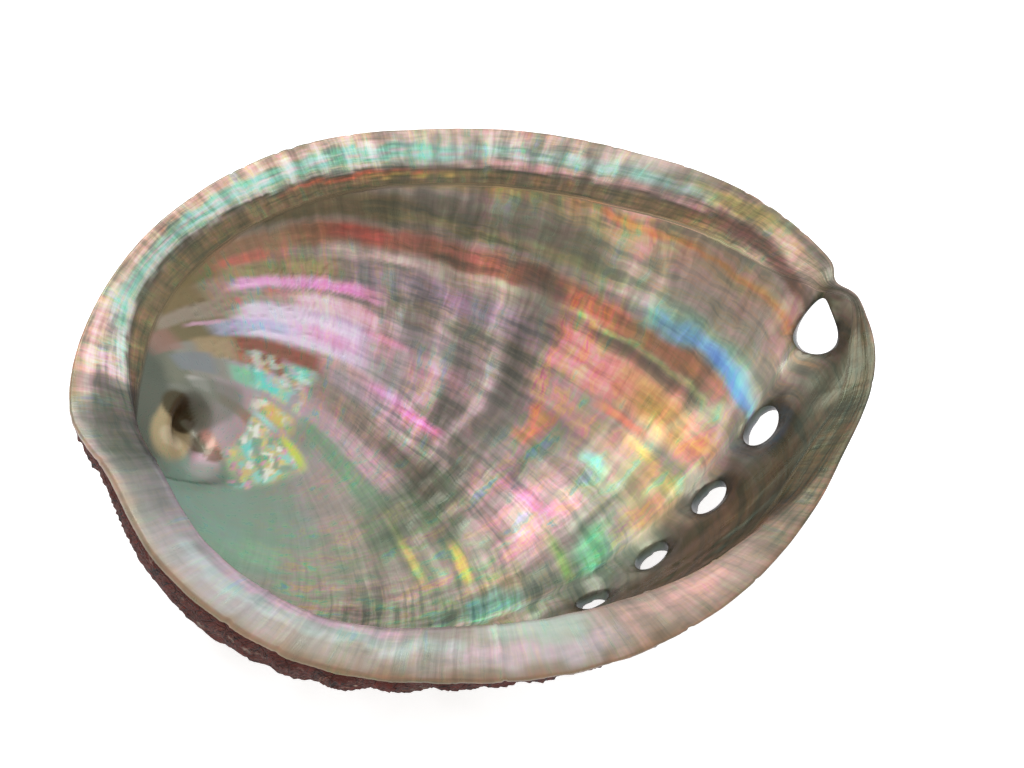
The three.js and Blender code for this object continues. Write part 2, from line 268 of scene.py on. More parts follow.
def spire_coil(x, y):
    """The spire's dome on the back, with the seam of its whorls pressed in."""
    radius, angle = about_apex(x, y)
    dome = SPIRE["rise"] * np.exp(-(radius / SPIRE["reach"])**2)
    near = np.maximum(radius, 0.5)
    turned = angle - math.radians(SPIRE["angle"]) - np.log(near / SPIRE["radius"]) / SPIRE["rate"]
    turns = turned / (2 * np.pi)
    from_seam = near * SPIRE["rate"] * 2 * np.pi * (turns - np.round(turns))
    ends = smoothstep(radius, 1, 4) * (1 - smoothstep(radius, SPIRE["reach"], SPIRE["radius"]))
    return dome - SPIRE["seam"] * np.exp(-(from_seam / SPIRE["seam_width"])**2) * ends


def growth_swell(x, y):
    """Broad swells of the yearly growth on the back."""
    stage, _ = growth(x, y, ROW_RATE)
    wave = 0.5 - 0.5 * np.cos(2 * np.pi * SWELLS["count"] * np.log(1 / stage))
    return SWELLS["height"] * wave * smoothstep(stage, SWELLS["from"], SWELLS["to"])


def spire_pit(x, y):
    """The pit inside, where the spire's whorls open into the bowl."""
    turned = math.radians(PIT["tilt"])
    dx, dy = x - PIT["x"], y - PIT["y"]
    u = dx * math.cos(turned) + dy * math.sin(turned)
    v = dy * math.cos(turned) - dx * math.sin(turned)
    away = np.hypot(u / PIT["long"], v / PIT["wide"])
    deep = PIT["depth"] * (1 + PIT["lean"] * np.clip(u / PIT["long"], -1, 1)) * np.exp(-away**3.4)
    whorl = PIT["whorl_rise"] * np.exp(-((u - PIT["whorl_at"])**2 + v**2) / PIT["whorl_size"]**2)
    return deep - whorl


def crust_relief(p):
    """Ribs, crowded growth ridges, lumps and limy growths on the back."""
    stage, rib = growth(p[..., 0], p[..., 1], RIB_RATE)
    wander = lumps(p, 14)
    wave = np.cos(np.degrees(rib) * CRUST_RIBS + 2 * wander)
    ribs = wave * CRUST_RELIEF["ribs"] * smoothstep(stage, 0.15, 0.5)
    ridge = (np.log(stage) * CRUST_RIDGES + 0.6 * wander) % 1
    ridges = CRUST_RELIEF["ridges"] * (ridge**2 - 0.33)
    growths = CRUST_RELIEF["growths"] * smoothstep(lumps(p, 9), 0.3, 0.8) * (0.6 + 0.4 * lumps(p, 1.7))
    rough = CRUST_RELIEF["lumps"] * lumps(p, 4) + CRUST_RELIEF["grit"] * lumps(p, 1.8)
    return ribs + ridges + rough + growths - CRUST_RELIEF["sink"]


def terrace(p, stage):
    """Place from 0 to 1 across each of the flaky terraces of the pearl."""
    return (np.log(np.maximum(stage, 0.02)) * TERRACES + 1.3 * lumps(p, 11) + 0.5 * lumps(p, 4)) % 1


def pearl_relief(p):
    """Faint ribs and old rims in the pearl, the worn terraces, and a crinkled blister by the spire."""
    stage, rib = growth(p[..., 0], p[..., 1], RIB_RATE)
    turned = np.degrees(rib)
    wander = lumps(p, 11)
    from_apex = about_apex(p[..., 0], p[..., 1])[0]
    from_spire = smoothstep(from_apex, PEARL_RELIEF["from"], PEARL_RELIEF["to"])
    rib_waves = np.cos(turned * 1.9 + 2.5 * wander) + np.cos(turned * 0.8)
    ribs = rib_waves * PEARL_RELIEF["ribs"] * from_spire
    waves = PEARL_RELIEF["waves"] * np.cos(np.log(stage) * PEARL_WAVES + 1.5 * wander) * from_spire
    flaky = window(turned, 58, 112, 8) * window(stage, 0.5, 0.82, 0.04)
    terraces = PEARL_RELIEF["terraces"] * smoothstep(terrace(p, stage), 0.88, 1) * flaky
    crinkled = window(turned, 60, 84, 5) * window(stage, 0.22, 0.36, 0.03)
    blister = PEARL_RELIEF["blister"] * lumps(p, 2.2) * crinkled
    return ribs + waves - terraces + blister + PEARL_RELIEF["lumps"] * lumps(p, 5)


def outside(degrees, along):
    p = back(degrees, along)
    out = collar(p) + spire_coil(p[..., 0], p[..., 1]) + growth_swell(p[..., 0], p[..., 1]) + crust_relief(p)
    return p - inward(degrees, along) * (out * smoothstep(along, 0, 0.05))[..., None]


def inside(degrees, along):
    p = back(degrees, along)
    from_spire = about_apex(p[..., 0], p[..., 1])[0] / SPIRE_REACH
    from_edge = EDGE_WALL + (1 - EDGE_WALL) * smoothstep(along, 0, 0.16)
    thick = WALL * from_edge + SPIRE_WALL * np.exp(-from_spire**2)
    dip = COLLAR["dip"] * collar(p) + spire_pit(p[..., 0], p[..., 1])
    return p + inward(degrees, along) * (thick - dip + pearl_relief(p))[..., None]


def bezier(points, t):
    """Point of a quadratic or cubic curve at t."""
    while len(points) > 1:
        points = [a + (b - a) * t for a, b in zip(points, points[1:])]
    return points[0]


def margin(degrees):
    """Rows from the outer wall over the rim's edge and the lip to the inner wall, and how far each is across
    the lip: 0 at the edge, 1 at the nose, below 0 on the crust and above 1 under the nose."""
    edge = back(degrees, np.zeros_like(degrees))
    to_middle = upright(degrees, -1, 0)
    lip = lip_value("lip", degrees)[:, None]
    fall = lip_value("fall", degrees)[:, None]
    share = lip_value("root", degrees)
    up = np.array([0, 0, 1])
    by_holes = window((degrees + 90) % 360, BY_HOLES["from"], BY_HOLES["to"], BY_HOLES["edge"])
    nose_size = NOSE * (1 - NOTCH["thin"] * near_notch(degrees)) * (1 - BY_HOLES["smaller"] * by_holes)
    nose_size = nose_size[:, None]
    nose = edge + to_middle * lip - up * (fall + nose_size)
    wall_step = 0.02
    root = inside(degrees, share)
    wall_run = unit(inside(degrees, share + wall_step) - root)
    shelf = window(degrees % 360, SHELF["from"], SHELF["to"], SHELF["edge"])[:, None]
    nose_run = unit(wall_run * (1 - shelf) - up * shelf)
    flat = [edge, edge + to_middle * LIP_CURVE["out"] * lip - up * LIP_CURVE["drop"] * fall,
            nose - nose_run * LIP_CURVE["nose"] * nose_size, nose]
    reach = np.linalg.norm(nose - root, axis=-1, keepdims=True)
    under = [nose, nose + nose_run * LIP_CURVE["under"] * reach,
             root - wall_run * LIP_CURVE["wall"] * reach, root]
    round_end = np.minimum(0.4, RIM_ROUND / (3 * LIP_CURVE["out"] * lip))
    corner = [outside(degrees, np.full_like(degrees, wall_step)), edge, bezier(flat, round_end)]
    rows = [(outside(degrees, share + (wall_step - share) * i / WALL_ROWS), i / WALL_ROWS - 2)
            for i in range(1, WALL_ROWS)]
    rows += [(bezier(corner, i / ROUND_ROWS), (i / ROUND_ROWS - 1) * 0.5) for i in range(ROUND_ROWS + 1)]
    rows += [(bezier(flat, round_end + (1 - round_end) * i / LIP_ROWS), i / LIP_ROWS)
             for i in range(1, LIP_ROWS + 1)]
    rows += [(bezier(under, i / (UNDER_ROWS + 1)), 1 + i / (UNDER_ROWS + 1))
             for i in range(1, UNDER_ROWS + 1)]
    return np.array([row for row, _ in rows]), np.array([across for _, across in rows])


# Mesh

def disc_grid(rings):
    """A square grid drawn out to a disc: angle and ring of each crossing."""
    i, j = np.mgrid[-rings:rings + 1, -rings:rings + 1].astype(float)
    wide = np.abs(i) > np.abs(j)
    ring = np.where(wide, i, j)
    safe = np.where(ring == 0, 1, ring)
    degrees = np.where(wide, 45 * j / safe, 90 - 45 * i / safe) + np.where(ring < 0, 180, 0)
    return degrees, np.abs(ring) / rings


def border(rings):
    """Grid places round the disc's edge, counter-clockwise."""
    n = 2 * rings
    steps = range(n)
    return ([(n, k) for k in steps] + [(n - k, n) for k in steps] + [(0, n - k) for k in steps]
            + [(k, 0) for k in steps])


def in_hole(hole, x, y):
    """Places in a hole's own plane, in half sizes along and across the row, and that plane's axes in plan.

    The newest hole tapers to the rim.
    """
    frame_2d = np.stack([hole["row"][:2], hole["across"][:2]], -1)
    uv = np.stack([x - hole["middle"][0], y - hole["middle"][1]], -1) @ np.linalg.inv(frame_2d).T
    u = uv[..., 0] / hole["long"]
    return u, uv[..., 1] / hole["wide"] / (1 - hole["taper"] * np.clip(u, -1, 1)), frame_2d


def walk_round(cells):
    """Crossings round a patch of grid cells, in order."""
    follows = {}
    for i, j in np.argwhere(cells).tolist():
        corners = [(i, j), (i + 1, j), (i + 1, j + 1), (i, j + 1)]
        beside = [(i, j - 1), (i + 1, j), (i, j + 1), (i - 1, j)]
        for k, cell in enumerate(beside):
            if not cells[cell]:
                follows[corners[k]] = corners[(k + 1) % 4]
    loop = [next(iter(follows))]
    while follows[loop[-1]] != loop[0]:
        loop.append(follows[loop[-1]])
    return loop


def open_holes(degrees, along):
    """Fits the grid round the open holes. Gives the cells to leave out and each hole's loop of crossings."""
    x, y, _ = np.moveaxis(back(degrees, along), -1, 0)
    cut = np.zeros((RINGS, RINGS), bool)
    loops = []
    moved = np.zeros(x.shape, bool)
    within = np.pad(np.ones(np.array(x.shape) - 2, bool), 1)
    for hole in holes[:HOLES["open"]]:
        u, v, frame_2d = in_hole(hole, x, y)
        away = np.hypot(u, v)
        cells = np.pad(away[1::2, 1::2][2:-2, 2:-2] < 1, 2)
        cut |= cells
        fine = np.repeat(np.repeat(cells, 2, 0), 2, 1)
        around = np.pad(fine, 1).astype(int)
        touching = around[1:, 1:] + around[:-1, 1:] + around[1:, :-1] + around[:-1, :-1]
        edge = (touching > 0) & (touching < 4)
        ij = np.array(walk_round(fine))
        turn = np.unwrap(np.arctan2(v[tuple(ij.T)], u[tuple(ij.T)]))
        even = np.sign(turn[-1] - turn[0]) * 2 * np.pi * np.arange(len(turn)) / len(turn)
        turn = even + np.mean(turn - even)
        half_width = hole["wide"] * (1 - hole["taper"] * np.cos(turn))
        spots = np.stack([hole["long"] * np.cos(turn), half_width * np.sin(turn)], -1) @ frame_2d.T
        x[tuple(ij.T)], y[tuple(ij.T)] = hole["middle"][0] + spots[:, 0], hole["middle"][1] + spots[:, 1]
        loops.append([tuple(place) for place in ij])
        free = (away < 2.4) & (touching == 0) & within
        for _ in range(40):
            for plane in (x, y):
                middle = (np.roll(plane, 1, 0) + np.roll(plane, -1, 0) + np.roll(plane, 1, 1)
                          + np.roll(plane, -1, 1)) / 4
                plane[free] = middle[free]
        moved |= free | edge
    degrees, along = degrees.copy(), along.copy()
    degrees[moved], along[moved] = place_under(x[moved], y[moved])
    return degrees, along, cut, loops


def two_to_one(coarse, fine):
    """Triangles between a closed loop and one with twice its points."""
    n = len(coarse)
    faces = []
    for k in range(n):
        b, b_next = coarse[k], coarse[(k + 1) % n]
        a, a_mid, a_next = fine[2 * k], fine[2 * k + 1], fine[(2 * k + 2) % (2 * n)]
        faces += [(b, b_next, a_mid), (b_next, a_next, a_mid), (b, a_mid, a)]
    return faces


def ring_faces(lower, upper):
    return [(a, b, c, d) for a, b, c, d in zip(lower, np.roll(lower, -1), np.roll(upper, -1), upper)]


def sheet_faces(ids, keep):
    quads = np.stack([ids[:-1, :-1], ids[1:, :-1], ids[1:, 1:], ids[:-1, 1:]], -1)
    return [tuple(quad) for quad in quads[keep]]


def smoothed(sheet):
    """The pearl sheet with the fold that runs from the spire into the bowl filled and rounded."""
    x, y = sheet[..., 0], sheet[..., 1]
    weight = (window(x, FOLD["from"], FOLD["to"], 6) * window(y, FOLD["low"], FOLD["high"], 5))[..., None]
    weight[[0, -1], :] = 0
    weight[:, [0, -1]] = 0
    for _ in range(FOLD["rounds"]):
        beside = (np.roll(sheet, 1, 0) + np.roll(sheet, -1, 0) + np.roll(sheet, 1, 1)
                  + np.roll(sheet, -1, 1)) / 4
        sheet = sheet + (beside - sheet) * weight
    return sheet


def build_shell():
    """Points, faces and, for each point, how far it is across the lip (see margin).

    That is ON_SHEET on the pearl's sheet, minus ON_SHEET on the crust's, and less in the holes' walls.
    """
    degrees, ring = disc_grid(RINGS)
    along = 1 - ring * (1 - lip_value("root", degrees))
    degrees, along, cut, loops = open_holes(degrees, along)
    crust, pearl = outside(degrees[::2, ::2], along[::2, ::2]), smoothed(inside(degrees, along))
    rim_places = border(RINGS)
    rows, across = margin(np.array([degrees[place] for place in rim_places]))
    points = [crust.reshape(-1, 3), pearl.reshape(-1, 3), rows.reshape(-1, 3)]
    place = [np.full(crust[..., 0].size, -ON_SHEET), np.full(pearl[..., 0].size, ON_SHEET),
             np.repeat(across, rows.shape[1])]
    crust_ids = np.arange(crust[..., 0].size).reshape(crust.shape[:2])
    pearl_ids = crust_ids.size + np.arange(pearl[..., 0].size).reshape(pearl.shape[:2])
    row_ids = crust_ids.size + pearl_ids.size + np.arange(rows[..., 0].size).reshape(rows.shape[:2])
    faces = sheet_faces(crust_ids, ~cut) + sheet_faces(pearl_ids, ~np.repeat(np.repeat(cut, 2, 0), 2, 1))
    faces += two_to_one([crust_ids[i // 2, j // 2] for i, j in rim_places[::2]], row_ids[0])
    for lower, upper in zip(row_ids, row_ids[1:]):
        faces += ring_faces(lower, upper)
    faces += ring_faces(row_ids[-1], [pearl_ids[i, j] for i, j in rim_places])
    count = row_ids.max() + 1
    for hole, loop in zip(holes, loops):
        start = next(k for k, (i, j) in enumerate(loop) if i % 2 == 0 and j % 2 == 0)
        loop = loop[start:] + loop[:start]
        at = tuple(np.array(loop).T)
        inner, outer = pearl[at], outside(degrees[at], along[at])
        last = [pearl_ids[i, j] for i, j in loop]
        for t in HOLE_ROWS:
            wall = inner + (outer - inner) * t
            to_axis = hole["middle"] - wall
            to_axis -= (to_axis @ hole["through"])[:, None] * hole["through"]
            points.append(wall + unit(to_axis) * HOLE_BELLY * np.sin(np.pi * t))
            place.append(np.full(len(wall), ON_SHEET - 0.9 * t))
            ids = np.arange(count, count + len(wall))
            faces += ring_faces(last, ids)
            last, count = ids, count + len(wall)
        faces += two_to_one([crust_ids[i // 2, j // 2] for i, j in loop[::2]], last)
    used = np.zeros(count, bool)
    used[np.concatenate(faces)] = True
    renumbered = (np.cumsum(used) - 1).tolist()
    faces = [[renumbered[k] for k in face] for face in faces]
    return np.concatenate(points)[used], faces, np.concatenate(place)[used]


def add_piece(name, points, faces):
    mesh = bpy.data.meshes.new(name)
    mesh.from_pydata(points.tolist(), [], faces)
    edit = bmesh.new()
    edit.from_mesh(mesh)
    bmesh.ops.recalc_face_normals(edit, faces=edit.faces)
    edit.to_mesh(mesh)
    edit.free()
    piece = bpy.data.objects.new(name, mesh)
    bpy.context.scene.collection.objects.link(piece)
    return piece


# Colours of the pearl

# Marks of the bowl's pearl: sRGB colour, rib angles from and to, growth stages from and to, and strength.
# The stages are old rims, so most marks are long bands beside each other, from the lip down to the spire.
BOWL_MARKS = (
    # Broad grounds; the olive brown over the upper wall (88° to 185°) and the dark browns on the wall by the
    # holes (-40° to 11°) are the pearl's colour with painted shade
    ("#8f8a80", 8, 60, 0.0, 0.97, 0.8), ("#aaa2aa", 40, 100, 0.3, 0.75, 0.7),
    ("#705c34", 88, 185, 0.6, 1.0, 0.85), ("#6d6b5b", 130, 190, 0.35, 0.72, 0.8),
    ("#7f9488", 25, 75, 0.08, 0.34, 0.8), ("#8a857c", 185, 330, 0.0, 1, 0.8),
    ("#3a2a10", -40, 11, 0.5, 1.0, 0.95), ("#4d4022", -40, 6, 0.2, 0.6, 0.8),
    ("#8fa08c", 9, 21, 0.4, 0.72, 0.8),
    # The lip above the newest hole, striped along the rim
    ("#9a978a", 12, 50, 0.94, 1.02, 0.9), ("#4a473b", 13, 43, 0.985, 1.02, 0.9),
    ("#a59a5c", 13, 33, 0.972, 0.986, 0.9), ("#c9b0a8", 13, 19, 0.965, 0.985, 0.7),
    ("#d8a0a8", 38, 46, 0.982, 0.993, 0.7), ("#6a665a", 30, 46, 0.968, 0.986, 0.6),
    ("#c0b878", 20, 40, 0.944, 0.954, 0.7),
    # Under the lip; its dark olive browns from 50° to 102° are the pearl's colour with painted shade of the
    # overhanging lip
    ("#5c3a34", 12, 40, 0.952, 0.97, 0.95), ("#a8927c", 12, 36, 0.918, 0.944, 0.9),
    ("#c08a4e", 12, 34, 0.926, 0.933, 0.8), ("#a59a5c", 16, 34, 0.905, 0.92, 0.7),
    ("#a08a56", 35, 62, 0.915, 0.945, 0.85), ("#5a4636", 58, 102, 0.9, 0.92, 0.9),
    ("#b59a95", 13, 30, 0.9, 0.918, 0.8), ("#aaa394", 12, 30, 0.868, 0.9, 0.9),
    ("#5e5a4a", 29, 51, 0.868, 0.905, 0.9), ("#513f1c", 50, 100, 0.862, 0.905, 0.9),
    ("#8f8a5f", 29, 52, 0.868, 0.88, 0.6), ("#9fae6a", 106, 122, 0.885, 0.915, 0.7),
    ("#c0a582", 118, 152, 0.85, 0.892, 0.8), ("#d8b0b0", 46, 88, 0.925, 0.94, 0.5),
    # The crimson rim and the blue streak that ends it
    ("#a06a48", 16, 36, 0.83, 0.856, 0.9), ("#8d5242", 34, 72, 0.828, 0.858, 0.9),
    ("#b04c45", 54, 68, 0.834, 0.852, 0.9), ("#8f6547", 64, 92, 0.818, 0.857, 0.85),
    ("#a8cdb8", 12, 26, 0.864, 0.882, 0.75), ("#78c2dc", 12, 24, 0.856, 0.874, 0.85),
    ("#5aa2dc", 12, 20, 0.857, 0.867, 0.7), ("#a9b27a", 16, 34, 0.825, 0.832, 0.7),
    ("#4f3a30", 33, 37.5, 0.832, 0.85, 0.8), ("#4f3a30", 45.5, 48.5, 0.83, 0.842, 0.8),
    ("#7d5c50", 16, 31, 0.812, 0.826, 0.8), ("#a5a08c", 35, 46, 0.818, 0.83, 0.8),
    ("#c26a5a", 75, 90, 0.798, 0.822, 0.9), ("#a08f68", 64, 90, 0.762, 0.8, 0.9),
    ("#d8c3bd", 49, 66, 0.805, 0.822, 0.7), ("#4c5c48", 50, 58, 0.799, 0.809, 0.7),
    ("#c9803f", 49, 57, 0.79, 0.8, 0.8),
    # Gold and rose bands on the right, lavender on the left
    ("#c99a7a", 15, 33, 0.768, 0.812, 0.9), ("#c8a75a", 16, 25, 0.775, 0.806, 0.8),
    ("#d59a9a", 24, 32, 0.77, 0.806, 0.8), ("#9c95a2", 32, 60, 0.768, 0.802, 0.9),
    ("#9a86a5", 38, 49, 0.772, 0.8, 0.7), ("#87857a", 31, 61, 0.744, 0.77, 0.9),
    ("#f4b4e2", 57, 92, 0.742, 0.767, 0.95), ("#7d7466", 44, 76, 0.732, 0.745, 0.8),
    ("#c4545a", 72, 80, 0.718, 0.736, 0.9), ("#f2d0dc", 54, 76, 0.7, 0.735, 0.85),
    ("#a8968a", 74, 89, 0.708, 0.73, 0.8), ("#d0505a", 87, 93, 0.7, 0.722, 0.9),
    ("#a89080", 13, 31, 0.7, 0.75, 0.9), ("#b0a070", 11, 18, 0.69, 0.75, 0.8),
    ("#5fd0c8", 21, 25, 0.698, 0.712, 0.9), ("#7c7775", 24, 41, 0.655, 0.722, 0.85),
    ("#c07a4a", 29, 31.5, 0.66, 0.715, 0.7), ("#b79aa0", 39, 59, 0.655, 0.702, 0.85),
    ("#d5a5bd", 41, 49, 0.665, 0.695, 0.7), ("#ecdaf0", 57, 92, 0.618, 0.702, 0.9),
    ("#e0a0c8", 60, 74, 0.64, 0.668, 0.7), ("#c0c0e4", 74, 97, 0.635, 0.662, 0.8),
    ("#bf9ca8", 20, 28, 0.575, 0.662, 0.7), ("#b5a878", 11, 19, 0.52, 0.56, 0.6),
    ("#97928f", 27, 46, 0.545, 0.662, 0.85), ("#5f5953", 35, 45, 0.56, 0.655, 0.6),
    ("#e0a5d8", 45, 57, 0.585, 0.615, 0.9), ("#c5a5a0", 56, 68, 0.597, 0.622, 0.8),
    ("#ab9ca4", 44, 69, 0.567, 0.6, 0.85),
    # The ribs' waves across the middle as painted shade and light: dark streaks, and pale ones beside them
    ("#55504b", 32.5, 37, 0.54, 0.84, 0.6), ("#5b5652", 40, 44, 0.6, 0.81, 0.55),
    ("#625c5a", 46.5, 50, 0.66, 0.8, 0.5), ("#5b5550", 27.5, 30.5, 0.48, 0.66, 0.5),
    ("#66605c", 53, 55.5, 0.68, 0.79, 0.45), ("#c9bcc0", 37.5, 39.5, 0.56, 0.8, 0.4),
    ("#cfc0c8", 44.5, 46, 0.6, 0.78, 0.4), ("#b9aeb0", 50.5, 52.5, 0.62, 0.78, 0.35),
    ("#5a5752", 36, 41, 0.86, 0.97, 0.4), ("#57544e", 42.5, 45.5, 0.87, 0.98, 0.45),
    ("#5d5a54", 48, 50.5, 0.88, 0.98, 0.4),
    # Bright rose, gold and green strokes where the pearl catches the light
    ("#f09ad8", 62, 72, 0.748, 0.758, 0.8), ("#f4a8d0", 50, 58, 0.69, 0.7, 0.7),
    ("#e888c8", 40, 47, 0.592, 0.606, 0.8), ("#f0b0e0", 23, 29, 0.6, 0.625, 0.7),
    ("#e8d860", 20, 27, 0.5, 0.512, 0.7), ("#a8e070", 14, 22, 0.6, 0.612, 0.6),
    ("#f0d060", 17, 22, 0.74, 0.752, 0.7), ("#f08050", 20, 25, 0.755, 0.765, 0.6),
    ("#70d8a8", 13, 17, 0.62, 0.66, 0.6), ("#e0e070", 24, 36, 0.452, 0.462, 0.7),
    ("#e8a0c0", 36, 44, 0.44, 0.452, 0.7), ("#68d8d0", 12, 16, 0.5, 0.56, 0.5),
    # The red scar with its sea-green glints
    ("#8a4a3a", 66, 96, 0.528, 0.612, 0.95), ("#b5503a", 84, 94, 0.535, 0.56, 0.8),
    ("#a58a68", 94, 114, 0.53, 0.61, 0.9), ("#6fd8c8", 68, 76, 0.535, 0.572, 0.9),
    ("#5fd8cc", 75, 91, 0.468, 0.522, 0.9), ("#7fc0a0", 89, 100, 0.455, 0.512, 0.9),
    ("#a9aac8", 87, 102, 0.615, 0.662, 0.8), ("#d8a5bf", 95, 112, 0.655, 0.668, 0.8),
    ("#9d8a7d", 88, 127, 0.675, 0.785, 0.85), ("#9d7068", 122, 150, 0.57, 0.68, 0.7),
    # The first mark below, olive brown from 98° to 152°, is the upper wall's colour with painted shade
    ("#7a6238", 98, 152, 0.725, 0.88, 0.85), ("#9c7350", 112, 132, 0.775, 0.83, 0.7),
    ("#6f9a72", 148, 172, 0.715, 0.825, 0.8), ("#7d7f86", 108, 137, 0.455, 0.55, 0.85),
    ("#c5c0bb", 118, 137, 0.355, 0.42, 0.85),
    # The floor of the bowl
    ("#c3a3ac", 19, 31, 0.545, 0.605, 0.7), ("#5f6f5c", 29, 41, 0.415, 0.565, 0.85),
    ("#4d453c", 32, 51, 0.507, 0.55, 0.85), ("#8d7d72", 49, 67, 0.497, 0.565, 0.85),
    ("#b59ca6", 39, 67, 0.467, 0.512, 0.6), ("#6d8f74", 38, 66, 0.428, 0.466, 0.85),
    ("#8f8578", 38, 56, 0.357, 0.43, 0.6), ("#c8d84a", 59, 69, 0.368, 0.392, 0.9),
    ("#7d8578", 58, 76, 0.397, 0.44, 0.8), ("#d8c060", 69, 87, 0.397, 0.442, 0.85),
    ("#a9dfd5", 74, 87, 0.368, 0.394, 0.85), ("#a8949a", 84, 112, 0.375, 0.445, 0.85),
    ("#8a6f5d", 67, 112, 0.327, 0.374, 0.85), ("#a8949c", 81, 117, 0.215, 0.33, 0.9),
    ("#c58a80", 78, 127, 0.165, 0.212, 0.85), ("#5f4f3e", 86, 132, 0.115, 0.17, 0.9),
    ("#7fa389", 28, 47, 0.19, 0.305, 0.8), ("#7f9a90", 33, 67, 0.115, 0.245, 0.8),
    ("#d0a8b8", 58, 87, 0.125, 0.195, 0.85), ("#7f8478", 38, 62, 0.255, 0.362, 0.5),
    ("#8a8f80", 18, 37, 0.295, 0.405, 0.8), ("#bfcfa0", 60, 83, 0.215, 0.365, 0.8),
    ("#d88ab0", 66, 71, 0.235, 0.27, 0.9), ("#72d8d8", 72, 80, 0.27, 0.31, 0.9),
    ("#e0c060", 60, 67, 0.3, 0.335, 0.85),
)
# Marks of the lip and the shelf: colour, rim angles from and to, places across from and to (0 at the edge,
# 1 at the nose, 2 where the wall begins), and strength
LIP_MARKS = (
    # The pale grey and aqua bands over the lip's top, from 44° to 178°, are the pearl's colour with painted
    # highlight where the flat lip faces the light
    ("#b3b6ac", 46, 92, 0, 2, 0.9), ("#b9c2b6", 88, 178, 0, 2, 0.9), ("#cdbfb5", 45, 130, 0, 0.18, 0.8),
    ("#a8d6cf", 44, 92, 0.4, 0.7, 0.8), ("#d8b0b0", 44, 90, 0.8, 1.1, 0.8),
    # The dark olive and brown under the nose from 40° to 182° are the pearl's colour with painted shade where
    # the lip overhangs the wall
    ("#665430", 40, 182, 1.15, 2.1, 0.92), ("#3f3223", 40, 182, 1.0, 1.2, 0.9),
    ("#c0583c", 92, 124, 1.18, 1.34, 0.7), ("#d8b860", 84, 108, 1.34, 1.5, 0.6),
    ("#94d8cc", 88, 142, 0.3, 0.85, 0.85), ("#c9b5a5", 120, 180, 0.0, 0.3, 0.8),
    ("#8ed4ca", 138, 178, 0.4, 0.9, 0.8), ("#cfc3cb", 172, 186, 0.1, 1.1, 0.8),
    ("#8f8a92", 183, 203, 0, 1.4, 0.9), ("#8b858a", 200, 229, 0, 1.4, 0.9),
    ("#8d867f", 226, 268, 0, 1.4, 0.9), ("#99948b", 264, 303, 0, 1.4, 0.9),
    ("#b8cfc4", 270, 296, 0.45, 0.8, 0.5), ("#a18d82", 299, 338, 0, 1.4, 0.9),
    ("#cfa5a0", 305, 330, 0.3, 0.6, 0.5), ("#7d6f5f", 334, 364, 0, 1.4, 0.9),
    # The dark browns over the lip and wall by the holes, from 340° round to 14°, are the pearl's colour with
    # painted shade
    ("#3f2d12", 340, 372, 0.7, 2, 0.9), ("#43300f", -12, 14, 0.0, 2, 0.9),
    ("#6f675c", 183, 336, 1.3, 2.2, 0.85), ("#c5b0c0", 203, 260, 0.75, 1.0, 0.5),
    ("#8f7059", 100, 350, -0.5, 0.03, 0.7), ("#b09a86", 10, 100, -0.3, 0.04, 0.6),
    ("#a9bfc0", 205, 264, 0.32, 0.55, 0.5), ("#c9a9c4", 212, 252, 0.56, 0.72, 0.5),
    ("#776c62", 226, 268, 0.76, 0.9, 0.5), ("#8a7848", 198, 332, 0.97, 1.1, 0.75),
    ("#cdb8c8", 262, 300, 0.15, 0.4, 0.45), ("#454640", 173, 189, 0.12, 2.1, 0.95),
    ("#5a5a54", 186, 200, 0.0, 0.7, 0.6), ("#d8b8bc", 164, 173, 0.05, 0.7, 0.6),
    ("#dcc9bd", 60, 172, 0.2, 0.3, 0.6), ("#d9b3bd", 75, 165, 0.52, 0.6, 0.55),
    # Past the first mark below, the dark grey streaks across the lip from 47° to 100° are painted dark
    # reflections
    ("#e0d4c4", 95, 172, 0.78, 0.86, 0.6), ("#55534a", 97, 100, 0.1, 1.8, 0.45),
    ("#55534a", 91, 93.5, 0.0, 1.8, 0.5), ("#4f4d44", 83.5, 86, 0.0, 1.8, 0.55),
    ("#55534a", 87.5, 88.8, 0.0, 1.6, 0.4), ("#4f4d44", 73, 77, 0.1, 1.9, 0.5),
    ("#4f4d44", 66.5, 69, 0.0, 1.9, 0.5), ("#55534a", 61, 64, 0.1, 1.9, 0.5),
    ("#5a5850", 55, 57, 0.2, 1.9, 0.45), ("#4f4d44", 47, 50, 0.0, 1.2, 0.5),
)
# Patches of the bowl by place in the plan: colour, x, y, half length, half width, turn in degrees, strength
PATCHES = (
    ("#7c9184", -44, -10, 17, 6, -20, 0.7), ("#505048", -66, 7, 14, 8, 100, 0.92),
    ("#6b6a60", -52, 10, 9, 5, 20, 0.7), ("#b09a74", -59, 2, 6.2, 4.2, 75, 0.95),
    # The first patch below, dark brown over the pit's upper edge, is a painted shadow of the pit's overhang
    ("#3f2808", -57.6, 7.2, 3.2, 3.6, 75, 0.97), ("#cbb999", -59.2, 0.8, 2.4, 2.2, 0, 0.8),
    ("#6b4a35", -50.5, -0.5, 2.2, 1.6, 0, 0.8),
)
# How strongly the colours play, from 0 to 1: rib angles, growth stages and strength
PLAY = (
    (10, 34, 0.3, 0.87, 0.95), (34, 60, 0.3, 0.7, 0.6), (56, 96, 0.58, 0.83, 0.7), (60, 90, 0.2, 0.58, 0.8),
    # The three weak entries below, under the lip, over the upper wall and on the wall by the holes, dull the
    # play there as painted shade
    (48, 190, 0.84, 1.0, 0.12), (100, 200, 0.3, 1.0, 0.12), (-40, 10, 0.3, 1.0, 0.1),
    (12, 46, 0.9, 1.02, 0.7), (28, 52, 0.865, 0.91, 0.2),
)
# Pearl away from those marks
PEARL_GROUND, HOLE_EDGE = "#8d877f", "#3a3128"
PLAIN_PLAY, LIP_PLAY, SHELF_PLAY = 0.35, 0.45, 0.15
